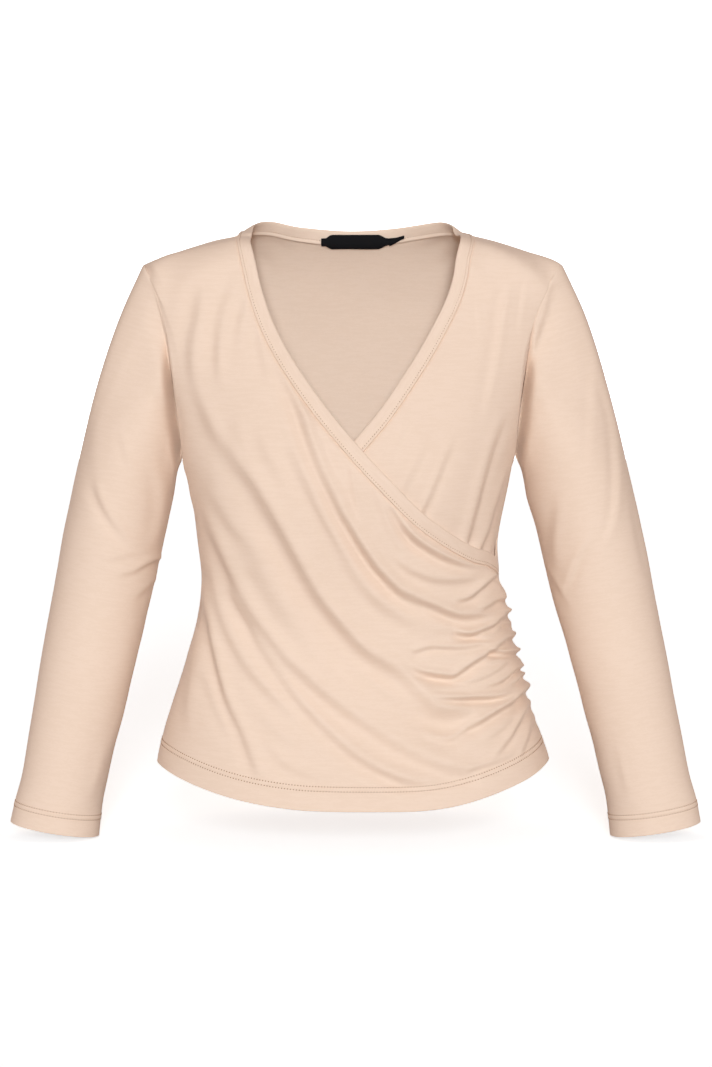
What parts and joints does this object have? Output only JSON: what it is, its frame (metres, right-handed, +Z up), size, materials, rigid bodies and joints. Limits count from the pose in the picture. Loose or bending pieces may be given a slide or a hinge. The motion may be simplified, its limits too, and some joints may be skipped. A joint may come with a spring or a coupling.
{
  "type": "wrap top",
  "caption": "Long-sleeved wrap top in fine jersey, filled out as worn, its right front crossing over the left and gathered into the left side seam.",
  "frame": {"origin": "midway between the two neck points, level with the tops of the shoulders, where the wearer's shoulders hold the top up", "axes": "+X to the wearer's left, -Y to the front, +Z up"},
  "size_m": [0.6854, 0.2334, 0.6065],
  "materials": {
    "jersey": "fine single jersey, slightly heathered, soft low sheen",
    "woven_label": "black woven satin tape"
  },
  "bodies": {
    "root": {"front_right": "jersey", "front_left": "jersey", "back": "jersey", "sleeve_right": "jersey", "sleeve_left": "jersey", "neck_band": "jersey", "label": "woven_label", "size_tag": "woven_label"}
  },
  "joints": []
}
